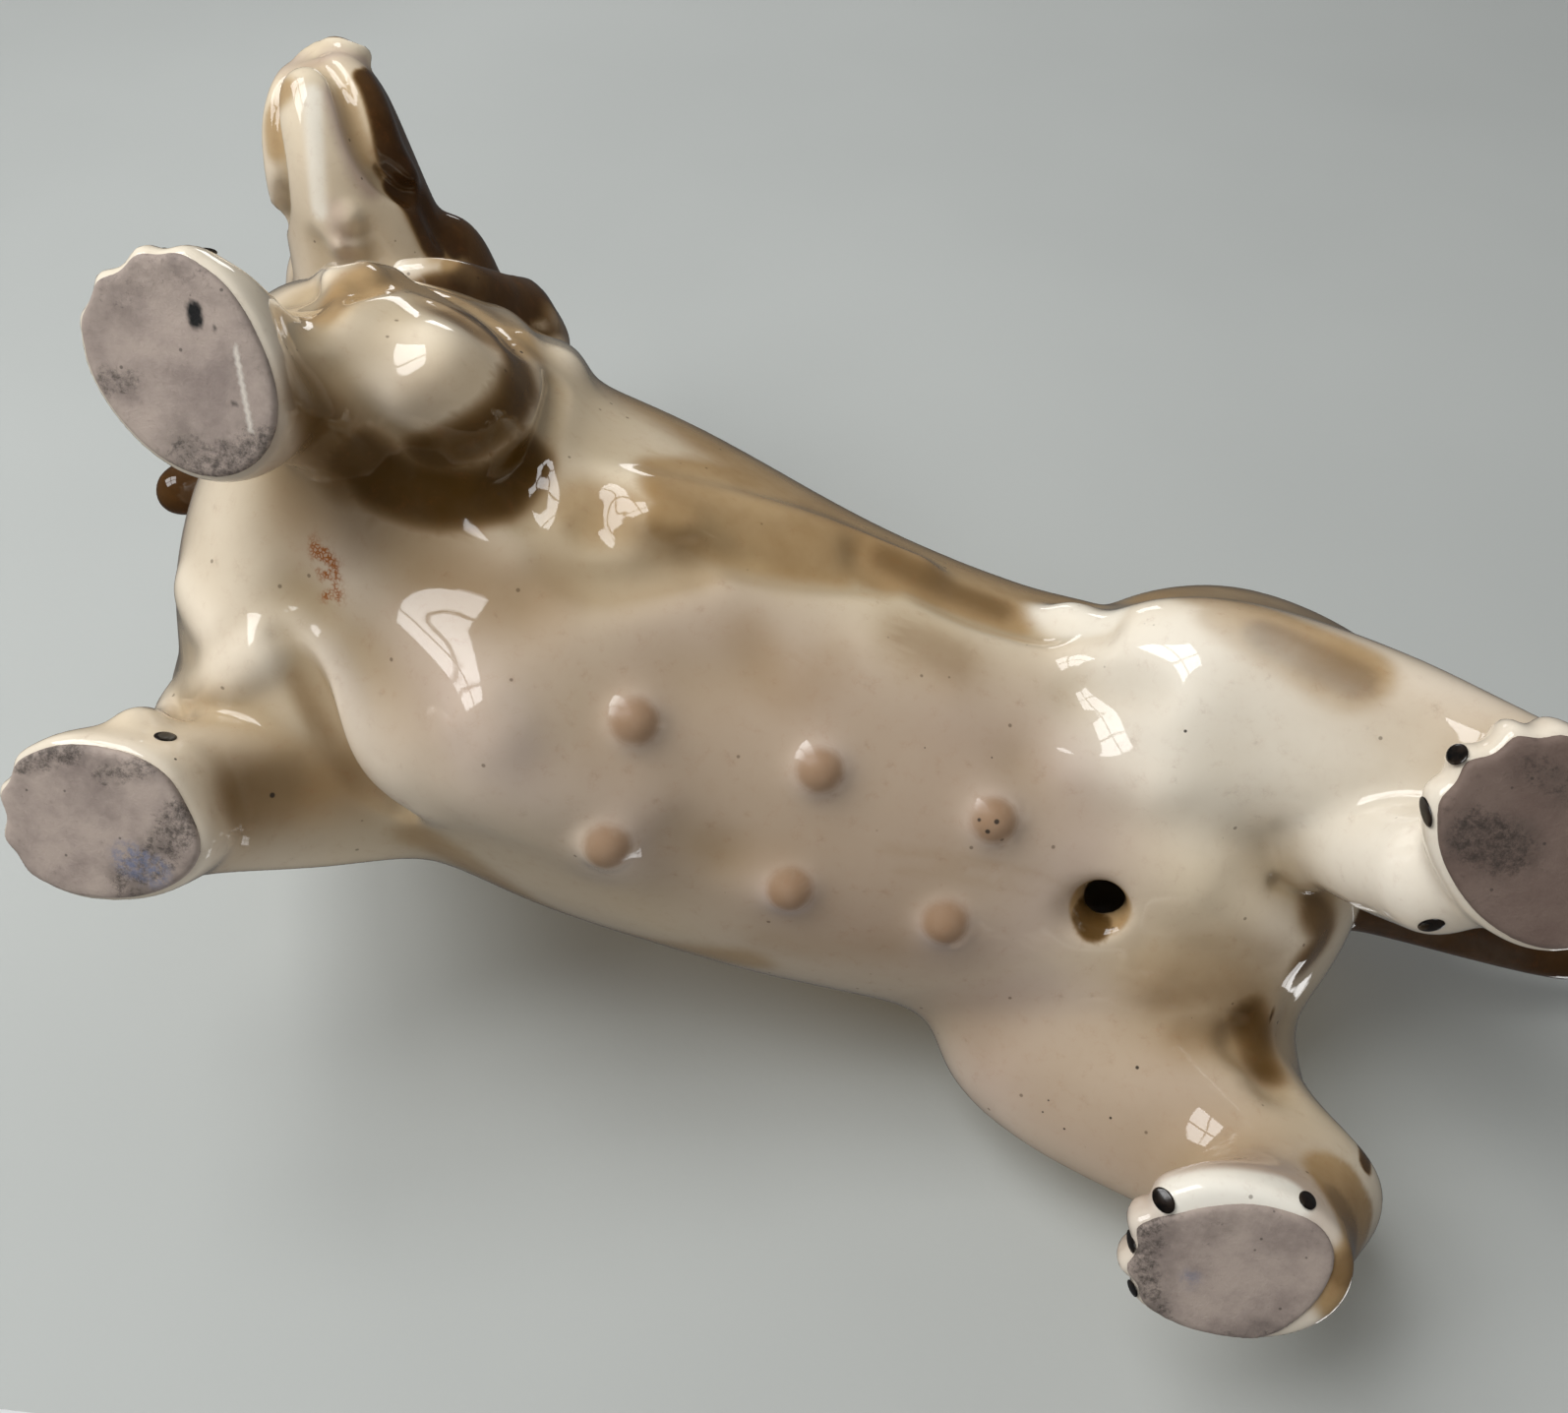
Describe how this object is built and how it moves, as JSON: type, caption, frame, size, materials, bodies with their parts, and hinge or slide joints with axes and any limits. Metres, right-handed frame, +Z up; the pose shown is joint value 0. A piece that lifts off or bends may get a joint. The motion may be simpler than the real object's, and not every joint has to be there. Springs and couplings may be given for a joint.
{
  "type": "porcelain dog figurine",
  "caption": "Standing short-legged hound figurine in glazed porcelain, head turned to its left, drop ears and straight tail, flat unglazed soles and a firing vent in the belly.",
  "frame": {"origin": "on the floor plane of the four soles, under the middle of the whole figure's outline", "axes": "the dog faces -X with its tail towards +X, its left side and its turned head towards -Y, +Z up"},
  "size_m": [0.1812, 0.0872, 0.0975],
  "materials": {
    "cream_glaze": "gloss",
    "fawn_glaze": "gloss",
    "brown_glaze": "gloss",
    "bisque": "matt",
    "black_enamel": "gloss"
  },
  "bodies": {
    "root": {"torso": "cream_glaze", "head": "fawn_glaze", "left_ear": "brown_glaze", "right_ear": "brown_glaze", "front_left_leg": "cream_glaze", "front_right_leg": "cream_glaze", "rear_left_leg": "cream_glaze", "rear_right_leg": "cream_glaze", "tail": "brown_glaze"}
  },
  "joints": []
}
